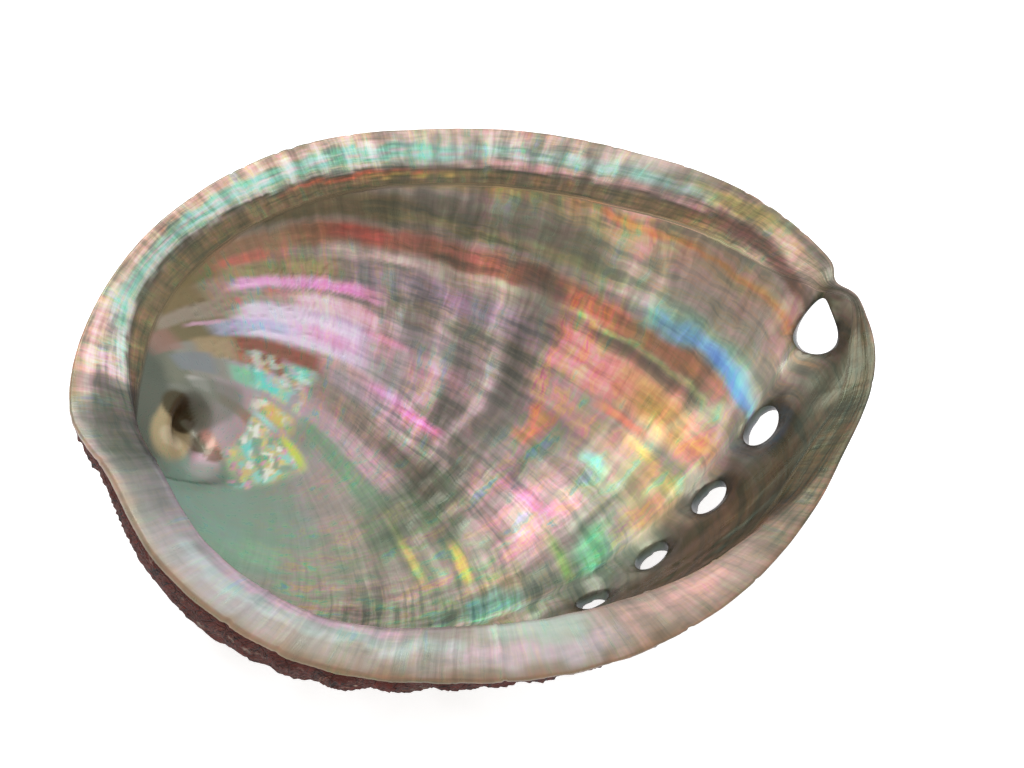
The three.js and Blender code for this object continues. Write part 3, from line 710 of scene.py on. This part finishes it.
# The lip's places: where the crust's edge and the wall begin, and its width along the growth
LIP_START, LIP_END, LIP_WIDTH = -0.6, 2.05, 10.8
# Crinkled scars where the colours break up in glints: rib angles, growth stages and strength
SCARS = ((60, 84, 0.21, 0.37, 0.85), (68, 92, 0.46, 0.575, 0.4), (68, 88, 0.395, 0.445, 0.5))
GLINTS = ("#8fd8d0", "#e09cc4", "#dccc84", "#f0eee6", "#7f9f90")


def linear(hex_colour):
    """sRGB hex as linear red, green and blue."""
    parts = np.array([int(hex_colour[i:i + 2], 16) / 255 for i in (1, 3, 5)])
    return np.where(parts <= 0.04045, parts / 12.92, ((parts + 0.055) / 1.055)**2.4)


def soft_band(value, low, high, least, most):
    """A window whose edge is a share of its width, within limits."""
    edge = min(most, max(least, 0.3 * (high - low)))
    return window(value, low, high, edge)


def paint_pearl(points, lip_place):
    """Linear colour and streak strength of each point, its place in growth space and its play of colour."""
    x, y = points[:, 0], points[:, 1]
    stage, rib = growth(x, y, RIB_RATE)
    turned = (np.degrees(rib) + 70) % 360 - 70
    near = 2.2 * lumps(points, 8) + 1.1 * lumps(points, 2.6)
    angle = turned + near * np.minimum(1, 0.5 / np.maximum(stage, 0.2))
    old = stage * (1 + 0.006 * lumps(points + 50, 9) + 0.004 * lumps(points + 90, 3))
    tint = np.empty((len(points), 3))
    tint[:] = linear(PEARL_GROUND)
    for colour, from_angle, to_angle, from_stage, to_stage, strength in BOWL_MARKS:
        weight = strength * soft_band(angle, from_angle, to_angle, 0.8, 4)
        weight = weight * soft_band(old, from_stage, to_stage, 0.0025, 0.01)
        tint += (linear(colour) - tint) * weight[:, None]
    for colour, px, py, long, wide, turn_degrees, strength in PATCHES:
        c, s = math.cos(math.radians(turn_degrees)), math.sin(math.radians(turn_degrees))
        u, v = (x - px) * c + (y - py) * s, (y - py) * c - (x - px) * s
        away = np.hypot(u / long, v / wide) + 0.12 * lumps(points, 3)
        tint += (linear(colour) - tint) * (strength * (1 - smoothstep(away, 0.75, 1.1)))[:, None]
    for from_angle, to_angle, from_stage, to_stage, strength in SCARS:
        scar = strength * window(angle, from_angle, to_angle, 2) * window(old, from_stage, to_stage, 0.008)
        for i, colour in enumerate(GLINTS):
            glint = scar * smoothstep(lumps(points + 110 + 31 * i, 1.6), 0.2, 0.5)
            tint += (linear(colour) - tint) * glint[:, None]
    rim = np.degrees(np.arctan2(y, x))
    on_lip = (lip_place > LIP_START) & (lip_place < LIP_END)
    across = lip_place + 0.1 * lumps(points, 6) + 0.06 * lumps(points, 2)
    lip_tint = tint.copy()
    for colour, from_angle, to_angle, from_place, to_place, strength in LIP_MARKS:
        middle = (from_angle + to_angle) / 2
        here = (rim - middle + 180) % 360 - 180 + middle + near
        weight = strength * soft_band(here, from_angle, to_angle, 1, 5)
        weight = weight * soft_band(across, from_place, to_place, 0.03, 0.15)
        lip_tint += (linear(colour) - lip_tint) * weight[:, None]
    tint = np.where(on_lip[:, None], lip_tint, tint)
    for hole in holes[:HOLES["open"]]:
        u, v, _ = in_hole(hole, x, y)
        ring = np.hypot(u, v) + 0.1 * lumps(points, 2)
        dark = np.where(lip_place > LIP_END, 1 - smoothstep(ring, 1.08, 1.4), 0)
        tint += (linear(HOLE_EDGE) - tint) * (0.85 * dark)[:, None]
    space = np.stack([np.cos(rib), np.sin(rib), np.log(np.maximum(stage, 0.02))], -1)
    lip_run = np.radians(rim)
    lip_space = np.stack([np.cos(lip_run), np.sin(lip_run), -LIP_WIDTH / REACH * lip_place], -1)
    shelf = window(rim % 360, SHELF["from"], SHELF["to"] + 8, SHELF["edge"])
    from_spire = smoothstep(about_apex(x, y)[0], 16, 60)
    in_bowl = from_spire * (1 - 0.45 * smoothstep(turned, 50, 75))
    streaks = np.where(on_lip, 1 - 0.6 * shelf, in_bowl) * (0.8 + 0.5 * lumps(points + 20, 16))
    play = np.full(len(points), PLAIN_PLAY)
    for from_angle, to_angle, from_stage, to_stage, strength in PLAY:
        zone = window(angle, from_angle, to_angle, 4) * window(old, from_stage, to_stage, 0.03)
        play += (strength - play) * zone
    play = np.where(on_lip, LIP_PLAY - SHELF_PLAY * shelf, play)
    paint = np.concatenate([tint, np.clip(streaks, 0, 1)[:, None]], -1)
    return paint, np.where((on_lip & (lip_place > -0.5))[:, None], lip_space, space), play


# Materials

def add_node(tree, kind, settings=None, links=None, **attributes):
    """A node with attributes and socket values set, and its inputs linked from other nodes' outputs."""
    node = tree.nodes.new(kind)
    for name, value in attributes.items():
        setattr(node, name, value)
    for socket, value in (settings or {}).items():
        node.inputs[socket].default_value = value
    for socket, (source, output) in (links or {}).items():
        tree.links.new(source.outputs[output], node.inputs[socket])
    return node


def new_material(name):
    material = bpy.data.materials.new(name)
    material.use_nodes = True
    tree = material.node_tree
    return material, tree, tree.nodes["Principled BSDF"]


def set_stops(ramp, stops):
    """Colour stops of a ramp from (place, hex) pairs."""
    elements = ramp.color_ramp.elements
    while len(elements) < len(stops):
        elements.new(0.5)
    for element, (place, colour) in zip(elements, stops):
        element.position = place
        element.color = (*linear(colour), 1)


def mother_of_pearl():
    """Nacre: chalk laid down in films thinner than light's waves, edge after edge of the growing mantle.

    The films split the light into rose, gold, sea green and blue that change from fleck to fleck.
    The mantle's edge leaves fine lines along old rims, and its folds leave ribs across them. The surface is
    satin smooth.
    """
    material, tree, shader = new_material("mother_of_pearl")
    tint = add_node(tree, "ShaderNodeAttribute", attribute_name="tint")
    space = add_node(tree, "ShaderNodeAttribute", attribute_name="growth_space")
    place = add_node(tree, "ShaderNodeTexCoord")
    bends = add_node(tree, "ShaderNodeTexNoise", {"Scale": 1 / (9 * MM), "Detail": 3},
                     {"Vector": (place, "Object")})
    bend = (3.36 / REACH, 3.36 / REACH, 1.68 / REACH)
    bent = add_node(tree, "ShaderNodeVectorMath", {1: bend}, {0: (bends, "Color"), 2: (space, "Vector")},
                    operation="MULTIPLY_ADD")
    # Millimetres between marks: along the rim, and along the growth
    spacings = {"rays": (9.23, 40), "ribs": (3, 20), "lines": (20, 1.9355), "flecks": (3.75, 8),
                "fine": (1, 4.615)}
    patterns = {}
    for name, (along_rim, along_growth) in spacings.items():
        scale = (REACH / along_rim, REACH / along_rim, REACH / along_growth)
        spread = add_node(tree, "ShaderNodeVectorMath", {1: scale}, {0: (bent, "Vector")},
                          operation="MULTIPLY")
        patterns[name] = add_node(tree, "ShaderNodeTexNoise", {"Scale": 1, "Detail": 3, "Roughness": 0.6},
                                  {"Vector": (spread, 0)})
    hues = add_node(tree, "ShaderNodeValToRGB", links={"Fac": (patterns["flecks"], "Fac")})
    set_stops(hues, [(0.3, "#58b0e8"), (0.37, "#62d8b4"), (0.43, "#bcc88a"), (0.49, "#bcb8b6"),
                     (0.55, "#dc9cc0"), (0.62, "#e4c484"), (0.7, "#e070b0")])
    play = add_node(tree, "ShaderNodeAttribute", attribute_name="play")
    patchy = add_node(tree, "ShaderNodeMapRange",
                      {"From Min": 0.38, "From Max": 0.62, "To Min": 0.15, "To Max": 0.75},
                      {"Value": (patterns["rays"], "Fac")})
    colourful = add_node(tree, "ShaderNodeMath", {}, {0: (patchy, 0), 1: (play, "Fac")}, operation="MULTIPLY")
    streaks = add_node(tree, "ShaderNodeMix", {},
                       {"Factor": (colourful, 0), "A": (tint, "Color"), "B": (hues, "Color")},
                       data_type="RGBA", blend_type="OVERLAY")
    hairlines = [(0.44, "#9a9088"), (0.475, "#d4ac84"), (0.5, "#b8b4ac"), (0.55, "#e8b4c4")]
    shades = (("rays", "#4a4648", [], "#f0eeee", 0.55), ("ribs", "#605c5c", [], "#ece8ea", 0.36),
              ("fine", "#787676", [], "#dedede", 0.22), ("lines", "#3f3732", hairlines, "#f2efe8", 0.5))
    for name, dark, between, light, strength in shades:
        shade = add_node(tree, "ShaderNodeValToRGB", links={"Fac": (patterns[name], "Fac")})
        set_stops(shade, [(0.36, dark), *between, (0.66, light)])
        depth = add_node(tree, "ShaderNodeMath", {1: strength}, {0: (tint, "Alpha")}, operation="MULTIPLY")
        streaks = add_node(tree, "ShaderNodeMix", {},
                           {"Factor": (depth, 0), "A": (streaks, "Result"), "B": (shade, "Color")},
                           data_type="RGBA", blend_type="OVERLAY")
    tree.links.new(streaks.outputs["Result"], shader.inputs["Base Color"])
    height = add_node(tree, "ShaderNodeMath", {},
                      {0: (patterns["ribs"], "Fac"), 1: (patterns["lines"], "Fac")})
    faded = add_node(tree, "ShaderNodeMath", {}, {0: (height, 0), 1: (tint, "Alpha")}, operation="MULTIPLY")
    bump = add_node(tree, "ShaderNodeBump", {"Strength": 0.35, "Distance": 0.4 * MM}, {"Height": (faded, 0)})
    tree.links.new(bump.outputs["Normal"], shader.inputs["Normal"])
    satin = add_node(tree, "ShaderNodeMapRange",
                     {"From Min": 0.3, "From Max": 0.7, "To Min": 0.24, "To Max": 0.42},
                     {"Value": (patterns["flecks"], "Fac")})
    tree.links.new(satin.outputs["Result"], shader.inputs["Roughness"])
    for socket, value in (("Metallic", 0.1), ("IOR", 1.53), ("Coat Weight", 0.12), ("Coat Roughness", 0.12),
                          ("Thin Film Thickness", 445), ("Thin Film IOR", 1.6)):
        shader.inputs[socket].default_value = value
    return material


def limy_crust():
    """The shell's outer layer: horny brick-red lime, cracked and worn, with pale limy growths and dark seams.

    Dull and rough all over, banded along the growth ridges, paler where a ridge is rubbed.
    """
    material, tree, shader = new_material("red_limy_crust")
    space = add_node(tree, "ShaderNodeAttribute", attribute_name="growth_space")
    place = add_node(tree, "ShaderNodeTexCoord")
    # Bands 20 mm long along the rim and 0.8 mm wide along the growth
    band = (REACH / 20, REACH / 20, REACH / 0.8)
    banding = add_node(tree, "ShaderNodeVectorMath", {1: band}, {0: (space, "Vector")}, operation="MULTIPLY")
    bands = add_node(tree, "ShaderNodeTexNoise", {"Scale": 1, "Detail": 5, "Roughness": 0.65},
                     {"Vector": (banding, 0)})
    colours = add_node(tree, "ShaderNodeValToRGB", links={"Fac": (bands, "Fac")})
    set_stops(colours, [(0.34, "#060303"), (0.43, "#240c08"), (0.51, "#5c1c10"), (0.56, "#220e0a"),
                        (0.66, "#5e3324"), (0.76, "#9a8672")])
    lime = add_node(tree, "ShaderNodeTexNoise", {"Scale": 1 / (5 * MM), "Detail": 6, "Roughness": 0.62},
                    {"Vector": (place, "Object")})
    spread = add_node(tree, "ShaderNodeMapRange", {"From Min": 0.6, "From Max": 0.74, "To Max": 0.45},
                      {"Value": (lime, "Fac")})
    flecked = add_node(tree, "ShaderNodeMix", {"B": (*linear("#b3a797"), 1)},
                       {"Factor": (spread, 0), "A": (colours, "Color")}, data_type="RGBA")
    cracks = add_node(tree, "ShaderNodeTexVoronoi", {"Scale": 1 / (4 * MM)}, {"Vector": (place, "Object")},
                      feature="DISTANCE_TO_EDGE")
    seam = add_node(tree, "ShaderNodeMapRange", {"From Max": 0.06, "To Min": 0.25, "To Max": 1},
                    {"Value": (cracks, "Distance")})
    seamed = add_node(tree, "ShaderNodeMix", {"Factor": 0.6}, {"A": (flecked, "Result"), "B": (seam, 0)},
                      data_type="RGBA", blend_type="MULTIPLY")
    tree.links.new(seamed.outputs["Result"], shader.inputs["Base Color"])
    grain = add_node(tree, "ShaderNodeTexNoise", {"Scale": 1 / (0.9 * MM), "Detail": 5},
                     {"Vector": (place, "Object")})
    height = add_node(tree, "ShaderNodeMath", {}, {0: (grain, "Fac"), 1: (seam, 0)})
    bump = add_node(tree, "ShaderNodeBump", {"Strength": 0.6, "Distance": 0.6 * MM}, {"Height": (height, 0)})
    tree.links.new(bump.outputs["Normal"], shader.inputs["Normal"])
    rough = add_node(tree, "ShaderNodeMapRange", {"To Min": 0.55, "To Max": 0.9}, {"Value": (lime, "Fac")})
    tree.links.new(rough.outputs["Result"], shader.inputs["Roughness"])
    shader.inputs["IOR"].default_value = 1.5
    shader.inputs["Specular IOR Level"].default_value = 0.15
    return material


points, faces, lip_place = build_shell()
shell = add_piece("abalone_shell", points, faces)
mesh = shell.data
tint, space, play = paint_pearl(points, lip_place)
mesh.attributes.new("tint", "FLOAT_COLOR", "POINT").data.foreach_set("color", tint.ravel())
mesh.attributes.new("growth_space", "FLOAT_VECTOR", "POINT").data.foreach_set("vector", space.ravel())
mesh.attributes.new("play", "FLOAT", "POINT").data.foreach_set("value", play)
mesh.materials.append(mother_of_pearl())
mesh.materials.append(limy_crust())
CRUST, CRUST_END = 1, -0.3
for face in mesh.polygons:
    face.material_index = CRUST if max(lip_place[k] for k in face.vertices) <= CRUST_END else 0

# Placing: turned as it lies, with its rim where the part's rim is
turn = np.array(Matrix.Rotation(REST_TILT, 3, "Y"))
low, high = (np.array(corner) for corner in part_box("shell"))


def to_world(shape, shift):
    return shape @ turn.T * MM + shift


placed = to_world(points, 0)
sideways = (low + high) / 2 - (placed.min(0) + placed.max(0)) / 2
shift = np.array([*sideways[:2], high[2] - placed[:, 2].max()])
placed = placed + shift
placed[:, 2] = np.maximum(placed[:, 2], 0)
mesh.vertices.foreach_set("co", placed.ravel())
mesh.update()
mesh.shade_smooth()

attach(shell, "root")
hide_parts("shell")

# Floor, light and camera
floor_mesh = bpy.data.meshes.new("floor")
FLOOR_HALF = 3
corners = [(-FLOOR_HALF, -FLOOR_HALF, 0), (FLOOR_HALF, -FLOOR_HALF, 0), (FLOOR_HALF, FLOOR_HALF, 0),
           (-FLOOR_HALF, FLOOR_HALF, 0)]
floor_mesh.from_pydata(corners, [], [(0, 1, 2, 3)])
floor = bpy.data.objects.new("floor", floor_mesh)
bpy.context.scene.collection.objects.link(floor)
# White background paper, pressed smooth: a dull, even white with a faint grain of 2.5 mm
paper, paper_tree, paper_shader = new_material("white_paper")
grain = add_node(paper_tree, "ShaderNodeTexNoise", {"Scale": 1 / (2.5 * MM)})
tone = add_node(paper_tree, "ShaderNodeValToRGB", links={"Fac": (grain, "Fac")})
set_stops(tone, [(0.3, "#f4f3f1"), (0.7, "#fbfaf9")])
paper_tree.links.new(tone.outputs["Color"], paper_shader.inputs["Base Color"])
paper_tree.links.new(tone.outputs["Color"], paper_shader.inputs["Emission Color"])
paper_shader.inputs["Emission Strength"].default_value = 0.6
paper_shader.inputs["Roughness"].default_value = 0.9
floor_mesh.materials.append(paper)
world = bpy.data.worlds.new("studio")
world.use_nodes = True
background = world.node_tree.nodes["Background"]
background.inputs["Color"].default_value = (0.97, 1, 1.01, 1)
background.inputs["Strength"].default_value = 0.9
bpy.context.scene.world = world
bpy.context.scene.view_settings.view_transform = "Standard"

VIEW_TILT, VIEW_SWING = math.radians(24), math.radians(22)
VIEW_DISTANCE = 360
# In pixels of the photo
PICTURE_WIDTH, FOCAL_LENGTH, SHIFT_RIGHT, SHIFT_UP = 1024, 1800, 42, 26
toward = np.array([-math.sin(VIEW_TILT) * math.sin(VIEW_SWING), -math.sin(VIEW_TILT) * math.cos(VIEW_SWING),
                   math.cos(VIEW_TILT)])
right = unit(np.array([1, 0, 0]) - toward[0] * toward)
up = np.cross(toward, right)
camera_data = bpy.data.cameras.new("camera")
camera_data.lens = FOCAL_LENGTH / PICTURE_WIDTH * camera_data.sensor_width
camera_data.shift_x, camera_data.shift_y = SHIFT_RIGHT / PICTURE_WIDTH, SHIFT_UP / PICTURE_WIDTH
camera = bpy.data.objects.new("camera", camera_data)
bpy.context.scene.collection.objects.link(camera)
axes = np.eye(4)
axes[:3, 0], axes[:3, 1], axes[:3, 2] = turn @ right, turn @ up, turn @ toward
axes[:3, 3] = to_world(toward * VIEW_DISTANCE, shift)
camera.matrix_world = Matrix(axes.tolist())
bpy.context.scene.camera = camera

key = bpy.data.lights.new("key", "AREA")
KEY_PLACE = Vector((-0.3, 0.4, 0.6))
key.energy = 3.6
key.size = 0.5
key_object = bpy.data.objects.new("key", key)
key_object.location = KEY_PLACE
key_object.rotation_euler = KEY_PLACE.to_track_quat("Z", "Y").to_euler()
bpy.context.scene.collection.objects.link(key_object)
